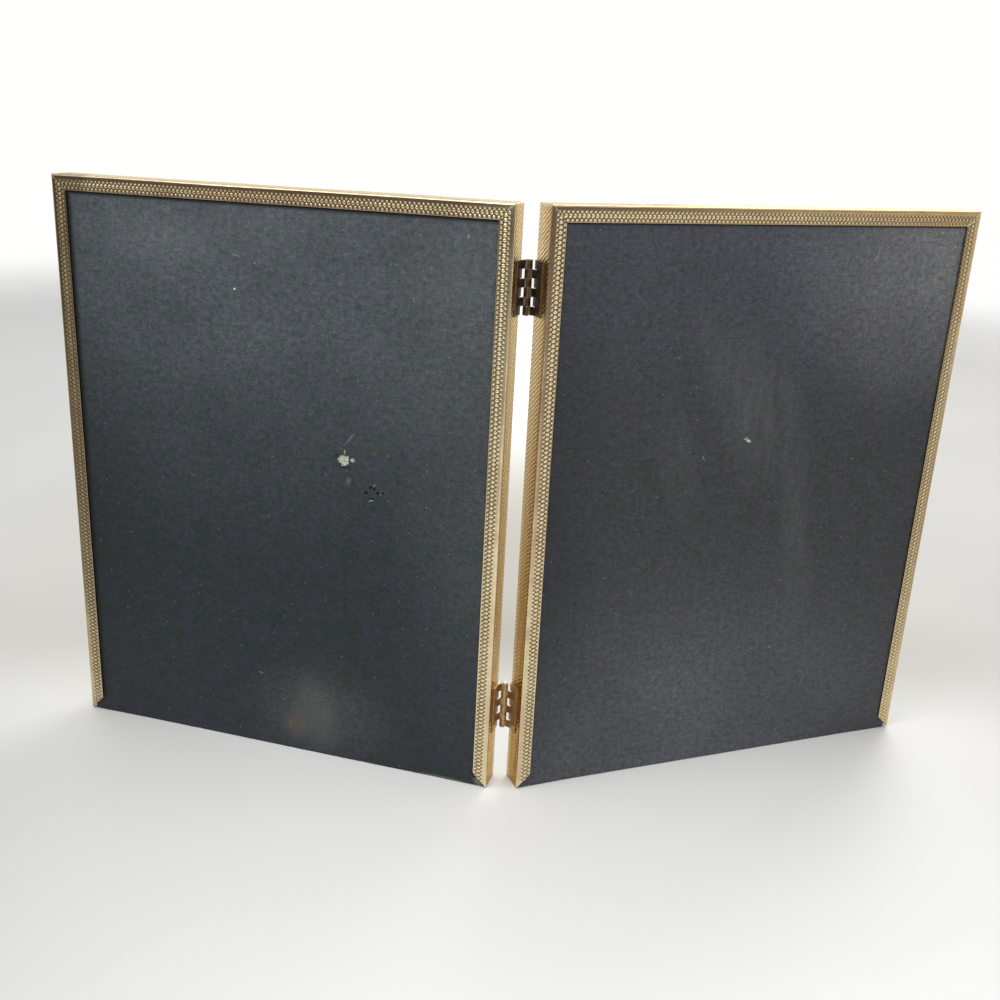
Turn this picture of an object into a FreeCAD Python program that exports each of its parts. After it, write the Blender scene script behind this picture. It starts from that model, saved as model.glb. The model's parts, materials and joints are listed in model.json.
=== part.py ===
import FreeCAD, Part
import os
import re
import Sketcher

# Hinged double photo frame, in millimetres.
# Two equal glazed leaves stand upright and are joined edge to edge by two butt hinges.
# +Z is up, the picture side faces +Y, the black boards face -Y, and the leaves are named
# left and right as seen from behind, from -Y. The origin is the middle of the base.

# Driving dimensions: alias, value.
# Flat sizes of the standard print and of the pack that a leaf holds
PACK_SIZES = [
    ("print_width", 203.2),
    ("print_height", 254.0),
    ("glass_thickness", 2.0),
    ("insert_thickness", 0.3),
    ("filler_thickness", 3.0),
    ("board_thickness", 3.0),
    ("board_undersize", 1.2),
    ("board_top_play", 2.0),
    ("board_hinge_play", 0.3),
    ("board_play", 0.1),
    ("board_back_play", 0.3),
    ("side_play", 0.5),
    ("top_play", 1.0),
]

# Pressed moulding of the rails, and the keys in its corners
RAIL_SIZES = [
    ("metal_thickness", 0.5),
    ("inner_fold_radius", 0.3),
    ("back_lip_width", 6.5),
    ("front_lip_width", 6.5),
    ("sight_return", 3.5),
    ("bottom_wall_play", 0.1),
    ("mitre_gap", 0.06),
    ("key_leg", 25.0),
    ("key_play", 0.4),
    ("key_lead", 0.8),
]

# Hinges, and how the leaves stand on them
HINGE_SIZES = [
    ("plate_thickness", 0.5),
    ("plate_reach", 7.8),
    ("slot_width", 0.9),
    ("pin_radius", 1.0),
    ("pin_end", 0.3),
    ("pin_chamfer", 0.2),
    ("running_clearance", 0.05),
    ("pin_forward", 0.3),
    ("tab_straight", 0.8),
    ("joggle_run", 2.4),
    ("seam_width", 0.75),
    ("seam_depth", 0.7),
    ("knuckle_pitch", 3.65),
    ("knuckle_gap", 0.15),
    ("top_hinge_drop", 21.9),
    ("bottom_hinge_lift", 25.8),
]

# Angles in degrees, and counts
SHARED_VALUES = [
    ("leaf_turn", 18.5),
    ("knuckle_pairs", 3),
]

# Sizes that follow from the driving ones: alias, formula.
DERIVED_SIZES = [
    ("leaf_width", "print_width + 2 * (side_play + metal_thickness)"),
    ("leaf_height", "print_height + top_play + 2 * metal_thickness"),
    ("glass_front", "sight_return"),
    ("insert_front", "glass_front + glass_thickness"),
    ("filler_front", "insert_front + insert_thickness"),
    ("filler_back", "filler_front + filler_thickness"),
    ("board_front", "filler_back + board_play"),
    ("lip_front", "board_front + board_thickness + board_back_play"),
    ("leaf_depth", "lip_front + metal_thickness"),
    ("board_width", "print_width - board_undersize"),
    ("board_height", "leaf_height - metal_thickness - board_top_play"),
    ("bottom_wall_depth", "filler_back - bottom_wall_play"),
    ("outer_fold_radius", "inner_fold_radius + metal_thickness"),
    ("key_width", "front_lip_width - 2 * (metal_thickness + key_play)"),
    ("key_thickness", "sight_return - metal_thickness - key_play"),
    ("bore_radius", "pin_radius + running_clearance"),
    ("barrel_radius", "bore_radius + plate_thickness"),
    ("wall_place", "barrel_radius + slot_width + plate_thickness"),
    ("leaf_middle", "wall_place + leaf_width / 2"),
    ("hinge_height", "2 * knuckle_pairs * knuckle_pitch"),
    ("top_hinge_lift", "leaf_height - top_hinge_drop - hinge_height"),
    ("far_reach", "wall_place + leaf_width - outer_fold_radius"),
    ("near_reach", "wall_place + outer_fold_radius"),
    ("front_setback", "pin_forward + outer_fold_radius"),
    ("back_setback", "pin_forward + leaf_depth - outer_fold_radius"),
    ("front_corner_y", "far_reach * sin(leaf_turn) - front_setback * cos(leaf_turn) + outer_fold_radius"),
    ("back_corner_y", "near_reach * sin(leaf_turn) - back_setback * cos(leaf_turn) - outer_fold_radius"),
    ("pin_line_y", "-(front_corner_y + back_corner_y) / 2"),
    ("mitre_cut_reach", "4 * leaf_depth"),
    ("seam_cut_reach", "4 * hinge_height"),
]

# Which way a leaf lies from the pins: -1 towards -X, +1 towards +X
LEAF_SIDES = {"left": -1, "right": 1}

# The point that a sketch measures from, and its number in a constraint
SKETCH_ORIGIN = (-1, 1)

# How near two numbers are to count as the same place
SAME_PLACE = 1e-6

doc = FreeCAD.newDocument("hinged_double_photo_frame")
sheet = doc.addObject("Spreadsheet::Sheet", "sizes")
aliases = []


def fill_sheet():
    """Driving dimensions first, as plain numbers, then the sizes that follow from them."""
    rows = PACK_SIZES + RAIL_SIZES + HINGE_SIZES + SHARED_VALUES
    for alias, value in rows:
        add_row(alias, str(value))
    for alias, formula in DERIVED_SIZES:
        add_row(alias, "=" + formula)
    doc.recompute()


def add_row(alias, content):
    row = len(aliases) + 1
    sheet.set("A%d" % row, alias)
    sheet.set("B%d" % row, content)
    sheet.setAlias("B%d" % row, alias)
    aliases.append(alias)


def linked(formula):
    """The same formula with each alias read from the sheet."""
    return re.sub(r"[a-z_]+", lambda word: "sizes." * (word[0] in aliases) + word[0], formula)


def value_of(formula):
    return float(sheet.evalExpression(formula))


def bind(thing, prop, formula):
    thing.setExpression(prop, linked(formula))


# Building blocks

def new_body(name):
    body = doc.addObject("PartDesign::Body", name)
    body.Label = name
    return body


def new_sketch(body, plane, name):
    """An empty sketch on one of the body's own origin planes."""
    sketch = body.newObject("Sketcher::SketchObject", name)
    base = [plane_object for plane_object in body.Origin.OriginFeatures if plane_object.Role == plane]
    sketch.AttachmentSupport = (base[0], [""])
    sketch.MapMode = "FlatFace"
    return sketch


def draw_outline(sketch, points):
    """A closed outline of straight lines whose corners are held by formulas."""
    corners = [FreeCAD.Vector(value_of(across), value_of(along), 0) for across, along in points]
    first = sketch.GeometryCount
    count = len(points)
    for index in range(count):
        line = Part.LineSegment(corners[index], corners[(index + 1) % count])
        sketch.addGeometry(line, False)
    for index in range(count):
        following = first + (index + 1) % count
        sketch.addConstraint(Sketcher.Constraint("Coincident", first + index, 2, following, 1))
    for index, (across, along) in enumerate(points):
        hold_point(sketch, (first + index, 1), "DistanceX", across)
        hold_point(sketch, (first + index, 1), "DistanceY", along)


def hold_point(sketch, point, direction, formula):
    constraint = Sketcher.Constraint(direction, *SKETCH_ORIGIN, *point, value_of(formula))
    index = sketch.addConstraint(constraint)
    bind(sketch, "Constraints[%d]" % index, formula)


def draw_circle(sketch, radius):
    """A circle round the sketch's origin."""
    circle = Part.Circle(FreeCAD.Vector(), FreeCAD.Vector(0, 0, 1), value_of(radius))
    index = sketch.addGeometry(circle, False)
    sketch.addConstraint(Sketcher.Constraint("Coincident", index, 3, *SKETCH_ORIGIN))
    held = sketch.addConstraint(Sketcher.Constraint("Radius", index, value_of(radius)))
    bind(sketch, "Constraints[%d]" % held, radius)


def add_pad(body, sketch, name, length, midplane=False):
    pad = body.newObject("PartDesign::Pad", name)
    pad.Profile = sketch
    pad.Midplane = midplane
    bind(pad, "Length", length)
    return pad


def add_pocket(body, sketch, name, length):
    """A pocket that reaches its length in all, half of it to each side of the sketch."""
    pocket = body.newObject("PartDesign::Pocket", name)
    pocket.Profile = sketch
    pocket.Midplane = True
    bind(pocket, "Length", length)
    return pocket


def add_rows(body, feature, name):
    """The feature's copies up the hinge, one in every second row of knuckles."""
    rows = body.newObject("PartDesign::LinearPattern", name)
    rows.Originals = [feature]
    axis = [line for line in body.Origin.OriginFeatures if line.Role == "Z_Axis"]
    rows.Direction = (axis[0], [""])
    bind(rows, "Occurrences", "knuckle_pairs")
    bind(rows, "Length", "2 * knuckle_pitch * (knuckle_pairs - 1)")
    body.Tip = rows
    return rows


def edges_along(feature, axis, spots):
    """Names of the feature's straight edges along an axis that pass through the given spots.

    A spot is a formula for each of the two other axes, in X, Y, Z order.
    """
    found = []
    doc.recompute()
    direction = FreeCAD.Vector(*[float(name == axis) for name in "XYZ"])
    for first, second in spots:
        place = [value_of(first), value_of(second)]
        place.insert("XYZ".index(axis), 0)
        spot = FreeCAD.Vector(*place)
        for index, edge in enumerate(feature.Shape.Edges):
            middle = edge.CenterOfMass
            aside = (middle - spot).cross(direction).Length
            along = edge.tangentAt(edge.FirstParameter).cross(direction).Length
            if aside < SAME_PLACE and along < SAME_PLACE:
                found.append("Edge%d" % (index + 1))
    return found


def add_fillet(body, feature, name, edges, radius):
    fillet = body.newObject("PartDesign::Fillet", name)
    fillet.Base = (feature, edges)
    bind(fillet, "Radius", radius)
    return fillet


def add_chamfer(body, feature, name, edges, size):
    chamfer = body.newObject("PartDesign::Chamfer", name)
    chamfer.Base = (feature, edges)
    bind(chamfer, "Size", size)
    return chamfer


def place_on_leaf(piece, leaf, across, depth, height, turn=0):
    """Puts a piece on a leaf that turns about the pins.

    across is measured from the pin axis outwards, depth from the front plane towards the back,
    height from the base, and turn is an angle about the leaf's front-to-back axis.
    """
    outwards = "%d * (%s)" % (LEAF_SIDES[leaf], across)
    spot = "create(<<vector>>; %s; -(%s + pin_forward); %s)" % (outwards, depth, height)
    turned = "create(<<rotation>>; create(<<vector>>; 0; 1; 0); %s)" % turn
    formula = "%s_leaf_frame.Placement * create(<<placement>>; %s; %s)" % (leaf, spot, turned)
    bind(piece, "Placement", formula)


def leaf_frame(leaf):
    """The frame of one leaf: its origin is on the pin line, and it is turned to the rest position."""
    frame = doc.addObject("App::Placement", leaf + "_leaf_frame")
    frame.Placement = FreeCAD.Placement(FreeCAD.Vector(), FreeCAD.Rotation(FreeCAD.Vector(0, 0, 1), 1))
    bind(frame, "Placement.Base.y", "pin_line_y")
    bind(frame, "Placement.Rotation.Angle", "%d * leaf_turn" % LEAF_SIDES[leaf])


# Rails

def channel_outline():
    """Section of the top and side rails, as depth behind the front plane and distance inwards."""
    return [
        ("0", "0"),
        ("0", "front_lip_width"),
        ("-sight_return", "front_lip_width"),
        ("-sight_return", "front_lip_width - metal_thickness"),
        ("-metal_thickness", "front_lip_width - metal_thickness"),
        ("-metal_thickness", "metal_thickness"),
        ("-lip_front", "metal_thickness"),
        ("-lip_front", "back_lip_width"),
        ("-leaf_depth", "back_lip_width"),
        ("-leaf_depth", "0"),
    ]


def bottom_outline():
    """Section of the bottom rail, whose wall stops in front of the board and which has no back lip."""
    return [
        ("0", "0"),
        ("0", "front_lip_width"),
        ("-sight_return", "front_lip_width"),
        ("-sight_return", "front_lip_width - metal_thickness"),
        ("-metal_thickness", "front_lip_width - metal_thickness"),
        ("-metal_thickness", "metal_thickness"),
        ("-bottom_wall_depth", "metal_thickness"),
        ("-bottom_wall_depth", "0"),
    ]


OUTER_FOLDS = [
    ("0", "0"),
    ("0", "front_lip_width"),
]

INNER_FOLDS = [
    ("-metal_thickness", "front_lip_width - metal_thickness"),
    ("-metal_thickness", "metal_thickness"),
]

BACK_OUTER_FOLD = [("-leaf_depth", "0")]

BACK_INNER_FOLD = [("-lip_front", "metal_thickness")]


def mitre_outlines(length):
    """The two corners that the mitres take off, one at each end, as length along and distance inwards."""
    inner = "max(front_lip_width; back_lip_width) + metal_thickness"
    end = "%s / 2 + metal_thickness" % length
    start = "%s / 2 - mitre_gap" % length
    outlines = []
    for sign in (1, -1):
        outlines.append([
            ("%d * (%s + metal_thickness)" % (sign, start), "-metal_thickness"),
            ("%d * (%s)" % (sign, end), "-metal_thickness"),
            ("%d * (%s)" % (sign, end), inner),
            ("%d * (%s - (%s))" % (sign, start, inner), inner),
        ])
    return outlines


def rail(name, leaf, length, across, height, turn, has_back_lip=True):
    """A pressed channel rail along its own X axis, with its front face at Y zero and its inside up."""
    body = new_body(name)
    section = new_sketch(body, "YZ_Plane", name + "_section")
    draw_outline(section, channel_outline() if has_back_lip else bottom_outline())
    pad = add_pad(body, section, name + "_length", length, midplane=True)
    outer = OUTER_FOLDS + BACK_OUTER_FOLD * has_back_lip
    inner = INNER_FOLDS + BACK_INNER_FOLD * has_back_lip
    folded = add_fillet(body, pad, name + "_outer_folds", edges_along(pad, "X", outer), "outer_fold_radius")
    edges = edges_along(folded, "X", inner)
    add_fillet(body, folded, name + "_inner_folds", edges, "inner_fold_radius")
    mitres = new_sketch(body, "XZ_Plane", name + "_mitres")
    for outline in mitre_outlines(length):
        draw_outline(mitres, outline)
    add_pocket(body, mitres, name + "_mitre_cuts", "mitre_cut_reach")
    place_on_leaf(body, leaf, across, "0", height, turn)
    return body


def leaf_rails(leaf):
    side = LEAF_SIDES[leaf]
    far = "wall_place + leaf_width"
    half = "leaf_height / 2"
    rail(leaf + "_rail_bottom", leaf, "leaf_width", "leaf_middle", "0", 0, has_back_lip=False)
    rail(leaf + "_rail_top", leaf, "leaf_width", "leaf_middle", "leaf_height", 180)
    rail(leaf + "_rail_hinge_side", leaf, "leaf_height", "wall_place", half, 90 * side)
    rail(leaf + "_rail_outer", leaf, "leaf_height", far, half, -90 * side)


# Corner keys

def corner_key(name, leaf, across, height, turn):
    """A flat L that lies in the hollow behind the front lips and joins two rails."""
    body = new_body(name)
    plan = new_sketch(body, "XZ_Plane", name + "_plan")
    start = "metal_thickness + key_play"
    inner = start + " + key_width"
    draw_outline(plan, [
        (start, start),
        ("key_leg", start),
        ("key_leg", inner),
        (inner, inner),
        (inner, "key_leg"),
        (start, "key_leg"),
    ])
    pad = add_pad(body, plan, name + "_thickness", "key_thickness")
    corners = [("key_leg", start), ("key_leg", inner), (start, "key_leg"), (inner, "key_leg")]
    add_chamfer(body, pad, name + "_leads", edges_along(pad, "Y", corners), "key_lead")
    place_on_leaf(body, leaf, across, "metal_thickness", height, turn)
    return body


def leaf_keys(leaf):
    side = LEAF_SIDES[leaf]
    near = "wall_place"
    far = "wall_place + leaf_width"
    # Turn of a key whose legs point up and outwards, as at the bottom of the hinge side
    first = 0 if side > 0 else -90
    corner_key(leaf + "_key_bottom_hinge_side", leaf, near, "0", first)
    corner_key(leaf + "_key_top_hinge_side", leaf, near, "leaf_height", first + 90 * side)
    corner_key(leaf + "_key_top_outer", leaf, far, "leaf_height", first + 180 * side)
    corner_key(leaf + "_key_bottom_outer", leaf, far, "0", first + 270 * side)


# Glass, insert, filler and board

def flat_sheet(name, leaf, width, height, thickness, middle, front, lift):
    """A flat rectangular sheet whose front face is at its own Y zero."""
    body = new_body(name)
    face = new_sketch(body, "XZ_Plane", name + "_face")
    draw_outline(face, [
        ("-(%s) / 2" % width, "0"),
        ("(%s) / 2" % width, "0"),
        ("(%s) / 2" % width, height),
        ("-(%s) / 2" % width, height),
    ])
    add_pad(body, face, name + "_thickness", thickness)
    place_on_leaf(body, leaf, middle, front, lift)
    return body


def leaf_pack(leaf):
    """What a leaf holds, from front to back. Only the board reaches down to the table."""
    pack = [
        ("_glass", "glass_thickness", "glass_front"),
        ("_insert_sheet", "insert_thickness", "insert_front"),
        ("_filler_board", "filler_thickness", "filler_front"),
    ]
    for name, thickness, front in pack:
        flat_sheet(leaf + name, leaf, "print_width", "print_height", thickness, "leaf_middle", front,
                   "metal_thickness")
    middle = "wall_place + metal_thickness + board_hinge_play + board_width / 2"
    flat_sheet(leaf + "_backing_board", leaf, "board_width", "board_height", "board_thickness", middle,
               "board_front", "0")


# Hinges

def hinge_plate(name, leaf, lift):
    """Half of a butt hinge, as on the right leaf: it lies on the side wall and curls round the pin.

    Its own Z axis is the pin, its wall side is towards +X and its back edge towards -Y. The left
    leaf has the same plate turned upside down, so its knuckles fill the other rows.
    """
    body = new_body(name)
    inner_face = "wall_place - plate_thickness"
    joggle_end = "tab_straight + joggle_run"
    plate = new_sketch(body, "XY_Plane", name + "_plate")
    draw_outline(plate, rectangle(inner_face, "wall_place", "-plate_reach", "-(%s)" % joggle_end))
    add_pad(body, plate, name + "_plate_height", "hinge_height")

    # The plate runs on to the front beside the other plate's knuckles
    tongue = new_sketch(body, "XY_Plane", name + "_tongue")
    draw_outline(tongue, rectangle(inner_face, "wall_place", "-(%s)" % joggle_end, "-pin_forward"))
    bind(tongue, "AttachmentOffset.Base.z", "knuckle_pitch")
    tongue_pad = add_pad(body, tongue, name + "_tongue_height", "knuckle_pitch")
    add_rows(body, tongue_pad, name + "_tongues")

    # Its own knuckles: a tab that joggles off the wall, and the barrel that it runs into
    tab = new_sketch(body, "XY_Plane", name + "_tab")
    draw_outline(tab, [
        ("bore_radius", "0"),
        ("bore_radius", "-tab_straight"),
        (inner_face, "-(%s)" % joggle_end),
        ("wall_place", "-(%s)" % joggle_end),
        ("barrel_radius", "-tab_straight"),
        ("barrel_radius", "0"),
    ])
    barrel = new_sketch(body, "XY_Plane", name + "_barrel")
    draw_circle(barrel, "barrel_radius")
    draw_circle(barrel, "bore_radius")
    seam = new_sketch(body, "XY_Plane", name + "_seam")
    seam_start = "bore_radius - seam_width"
    draw_outline(seam, rectangle(seam_start, "bore_radius", "-2 * barrel_radius", "-seam_depth"))
    for sketch in (tab, barrel, seam):
        bind(sketch, "AttachmentOffset.Base.z", "knuckle_gap / 2")
    knuckle_length = "knuckle_pitch - knuckle_gap"
    tab_pad = add_pad(body, tab, name + "_tab_height", knuckle_length)
    add_rows(body, tab_pad, name + "_tabs")
    barrel_pad = add_pad(body, barrel, name + "_barrel_height", knuckle_length)
    add_rows(body, barrel_pad, name + "_barrels")
    seam_cut = add_pocket(body, seam, name + "_seam_cut", "seam_cut_reach")
    body.Tip = seam_cut
    turn = 0
    height = lift
    if LEAF_SIDES[leaf] < 0:
        turn = 180
        height = lift + " + hinge_height"
    place_on_leaf(body, leaf, "0", "-pin_forward", height, turn)
    return body


def rectangle(left, right, low, high):
    return [(left, low), (right, low), (right, high), (left, high)]


def hinge_pin(name, lift):
    """A plain pin with chamfered ends that stand a little out of the barrel."""
    body = new_body(name)
    circle = new_sketch(body, "XY_Plane", name + "_circle")
    draw_circle(circle, "pin_radius")
    pad = add_pad(body, circle, name + "_length", "hinge_height + 2 * pin_end")
    doc.recompute()
    rims = ["Edge%d" % (index + 1) for index, edge in enumerate(pad.Shape.Edges) if edge.isClosed()]
    add_chamfer(body, pad, name + "_ends", rims, "pin_chamfer")
    place_on_leaf(body, "left", "0", "-pin_forward", lift + " - pin_end")
    return body


def hinge(name, lift):
    hinge_plate(name + "_left_plate", "left", lift)
    hinge_plate(name + "_right_plate", "right", lift)
    hinge_pin(name + "_pin", lift)


def check_and_export():
    """Writes one STEP file for each sub-part, after all of them are known to be sound."""
    doc.recompute()
    for thing in doc.Objects:
        if "Invalid" in thing.State or "Error" in thing.State:
            raise RuntimeError("%s failed: %s" % (thing.Label, thing.State))
    bodies = [thing for thing in doc.Objects if thing.TypeId == "PartDesign::Body"]
    for body in bodies:
        shape = body.Shape
        if shape.isNull() or not shape.isValid() or len(shape.Solids) != 1:
            raise RuntimeError("%s isn't one sound solid" % body.Label)
    os.makedirs("parts", exist_ok=True)
    for body in bodies:
        body.Shape.exportStep("parts/%s.step" % body.Label)
        box = body.Shape.BoundBox
        print("%-28s %9.1f mm3  x %.2f %.2f  y %.2f %.2f  z %.2f %.2f" % (
            body.Label, body.Shape.Volume, box.XMin, box.XMax, box.YMin, box.YMax, box.ZMin, box.ZMax))


fill_sheet()
for leaf_name in LEAF_SIDES:
    leaf_frame(leaf_name)
    leaf_rails(leaf_name)
    leaf_keys(leaf_name)
    leaf_pack(leaf_name)
hinge("top_hinge", "top_hinge_lift")
hinge("bottom_hinge", "bottom_hinge_lift")
check_and_export()
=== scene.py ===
import json
import math

import bmesh
import bpy
import numpy as np
from mathutils import Matrix, Vector


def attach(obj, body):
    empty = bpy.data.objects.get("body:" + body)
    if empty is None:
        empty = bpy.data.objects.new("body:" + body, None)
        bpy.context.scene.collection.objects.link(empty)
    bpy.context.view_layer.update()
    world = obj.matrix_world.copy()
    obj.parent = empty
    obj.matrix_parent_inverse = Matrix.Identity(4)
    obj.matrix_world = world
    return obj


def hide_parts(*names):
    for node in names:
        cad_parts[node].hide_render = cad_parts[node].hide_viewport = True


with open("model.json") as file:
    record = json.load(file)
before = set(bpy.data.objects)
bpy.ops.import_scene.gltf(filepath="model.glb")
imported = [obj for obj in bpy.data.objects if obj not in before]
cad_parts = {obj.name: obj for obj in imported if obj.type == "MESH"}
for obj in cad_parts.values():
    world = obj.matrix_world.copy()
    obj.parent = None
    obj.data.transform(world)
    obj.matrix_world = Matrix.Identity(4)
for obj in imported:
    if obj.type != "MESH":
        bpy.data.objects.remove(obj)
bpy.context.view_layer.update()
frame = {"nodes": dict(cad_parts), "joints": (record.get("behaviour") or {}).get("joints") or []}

# Hinged double photo frame. Lengths are in metres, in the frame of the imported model:
# +Z is up, the pictures face +Y and the black boards face -Y.

MM = 0.001

# Sizes of the pressed moulding
METAL = 0.5 * MM
FOLD = 0.8 * MM
INNER_FOLD = 0.3 * MM
LIP = 6.5 * MM
RETURN = 3.5 * MM
CUT_EDGE = 0.1 * MM
INNER_LIP_EDGE = 0.15 * MM
MITRE_GAP = 0.07 * MM
MITRE_EDGE = 0.25 * MM
MITRE_REACH = 1.4 * MITRE_EDGE
MITRE_TURN = 0.14 * MM

# How far the pins lie in front of a leaf's front face
PIN_FORWARD = 0.3 * MM

# The corner whose cut edges stand proud and bright, as leaf and rail
BURR = (("right", "top"), ("right", "outer"))
BURR_HEIGHT = 0.2 * MM

# How the section is divided: places across a lip, steps in a fold, and the spacing on the side wall
LIP_STEPS = np.r_[0.0, 0.22, 0.45:4.65:18j, 5.1, 5.7] * MM
FOLD_STEPS = 4
WALL_STEP = 0.7 * MM

# The lip's sight edge is rolled down, and no rail is quite straight. Its unevenness is finer across
# the rail than along it.
ROLLED_WIDTH = 0.3 * MM
ROLLED_DEPTH = 0.12 * MM
RAIL_SWAY = 0.07 * MM
RAIL_WAVES = (0.093, 0.041, 0.027)
ACROSS_FACTOR = 6

# Embossing: the pitch of the beads and how finely it is modelled
PITCH = 1.9 * MM
SAMPLES = 6
BEAD_HEIGHT = 0.38 * MM
GROUND = 0.05 * MM
# The front lips' band is sunk further, so that the shut leaves don't touch
FRONT_GROUND = 0.23 * MM
# Where the band starts, is at its full depth, begins to fade and ends, across the lip
BAND = (0.3 * MM, 0.6 * MM, 4.3 * MM, 4.7 * MM)
# Rows of beads: place across the lip, shift along in pitches, half sizes across and along, height
BEAD_ROWS = [
    (1.0 * MM, 0.5, 0.68 * MM, 0.78 * MM, 0.88),
    (2.6 * MM, 0.0, 1.20 * MM, 0.92 * MM, 1.0),
    (4.05 * MM, 0.5, 0.64 * MM, 0.78 * MM, 0.88),
]
# Side walls: slanting strokes, with a shallow column every few millimetres, and a plain margin
WALL_MARGIN = 0.5 * MM
COLUMN = 4.2 * MM
COLUMN_DEPTH = 0.05 * MM
STROKE_DEPTH = 0.1 * MM
STROKE_LEAN = 0.68

# Parts of the section that are dressed in different ways
PLAIN, EMBOSSED, WALL = 0, 1, 2

# Sharp edges, in degrees, and how they are rounded
SHARP_ANGLE = 40
BEVEL_STEPS = 2
BOARD_ROUNDING = 0.12 * MM
KEY_ROUNDING = 0.2 * MM
GLASS_ROUNDING = 0.3 * MM
SHEET_ROUNDING = 0.05 * MM
CARD_ROUNDING = 0.25 * MM
PLATE_ROUNDING = 0.09 * MM
PIN_ROUNDING = 0.1 * MM
# Points nearer to each other than this are one, and faces within this angle are flat
WELD = 0.002 * MM
FLAT_ANGLE = 1

SIDES = {"left": -1, "right": 1}


class Leaf:
    """One leaf, with coordinates along it: u outwards from the pins, d from the front to the back, z up."""

    def __init__(self, name):
        self.name = name
        self.side = SIDES[name]
        pane = points_of(frame["nodes"][name + "_glass"])[:, :2]
        across = np.linalg.svd(pane - pane.mean(0), full_matrices=False)[2][0]
        self.out = across * np.sign(across[0]) * self.side
        self.back = np.array([-self.out[1], self.out[0]]) * -self.side
        fold = [joint for joint in frame["joints"] if joint["type"] == "hinge"][0]
        self.pin = np.array(fold["pos_m"][:2])
        self.body = name + "_leaf"
        wall = self.local(name + "_rail_hinge_side")
        far = self.local(name + "_rail_outer")
        self.near = wall[:, 0].min()
        self.far = far[:, 0].max()
        self.height = wall[:, 2].max()
        self.depth = wall[:, 1].max()

    def local(self, node):
        """A CAD node's points as u, d, z."""
        points = points_of(frame["nodes"][node])
        flat = points[:, :2] - self.pin
        return np.c_[flat @ self.out, flat @ self.back - PIN_FORWARD, points[:, 2]]

    def world(self, u, d, z):
        """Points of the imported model's frame for arrays of u, d and z."""
        u, d, z = np.broadcast_arrays(u, d, z)
        flat = self.pin + u[..., None] * self.out + (d[..., None] + PIN_FORWARD) * self.back
        return np.concatenate([flat, z[..., None]], axis=-1)


def points_of(obj):
    co = np.zeros(len(obj.data.vertices) * 3)
    obj.data.vertices.foreach_get("co", co)
    return co.reshape(-1, 3)


# Meshes

def shown_object(name, mesh, finish):
    obj = bpy.data.objects.new(name, mesh)
    bpy.context.scene.collection.objects.link(obj)
    mesh.materials.clear()
    mesh.materials.append(finish)
    mesh.polygons.foreach_set("use_smooth", np.ones(len(mesh.polygons), bool))
    return obj


def make_object(name, verts, faces, finish):
    mesh = bpy.data.meshes.new(name)
    mesh.from_pydata([tuple(point) for point in verts], [], faces)
    mesh.validate()
    return shown_object(name, mesh, finish)


def give_points(obj, name, values):
    """Stores a number or a vector for each vertex."""
    kind = "FLOAT_VECTOR" if values.ndim == 2 else "FLOAT"
    attribute = obj.data.attributes.new(name, kind, "POINT")
    attribute.data.foreach_set("vector" if values.ndim == 2 else "value", values.ravel())


def smooth_step(value, low, high):
    t = np.clip((value - low) / (high - low), 0, 1)
    return t * t * (3 - 2 * t)


def waves(place, sizes, seed):
    """A smooth unevenness between about -1 and 1 along one or more coordinates."""
    source = np.random.default_rng(seed)
    total = np.zeros(np.broadcast(*place).shape)
    for size in sizes:
        phase = source.uniform(0, 2 * math.pi)
        angle = source.uniform(0.4, 1.0, len(place))
        total += np.sin(sum(axis * tilt for axis, tilt in zip(place, angle)) * 2 * math.pi / size + phase)
    return total / len(sizes)


# Moulding

def lip_relief(along, across):
    """Height of the embossed band, from 0 in its ground up to 1 on the crest of a bead.

    across is measured from the lip's sight edge. A row of large beads runs between two rows of
    small ones that are set half a pitch further on.
    """
    height = np.zeros(np.broadcast(along, across).shape)
    for middle, stagger, half_across, half_along, rise in BEAD_ROWS:
        step = (along / PITCH + stagger + 0.5) % 1 - 0.5
        reach = np.hypot((across - middle) / half_across, step * PITCH / half_along)
        bead = rise * np.cos(np.minimum(reach, 1) * math.pi / 2) ** 2
        height = np.maximum(height, bead)
    return height


def embossed_band(across):
    """1 inside the embossed band of a lip, 0 on the plain metal on both sides of it."""
    start, full, fading, end = BAND
    return smooth_step(across, start, full) * (1 - smooth_step(across, fading, end))


def wall_relief(along, across, width):
    """Shallow columns and slanting strokes pressed into the wall, from 0 downwards."""
    band = smooth_step(across, 0, WALL_MARGIN) * (1 - smooth_step(across, width - WALL_MARGIN, width))
    columns = 0.5 - 0.5 * np.cos(across / COLUMN * 2 * math.pi)
    strokes = 0.5 - 0.5 * np.sin((along + across * STROKE_LEAN) / PITCH * 2 * math.pi)
    return -band * (columns * COLUMN_DEPTH + strokes * STROKE_DEPTH)


def quarter_round(centre, start):
    """A fold's points between its two ends, from start degrees on, with their outward normals."""
    rows = []
    for step in range(1, FOLD_STEPS):
        angle = math.radians(start + 90 * step / FOLD_STEPS)
        normal = (math.cos(angle), math.sin(angle))
        rows.append((centre[0] + FOLD * normal[0], centre[1] + FOLD * normal[1], *normal, PLAIN, 0))
    return rows


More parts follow.
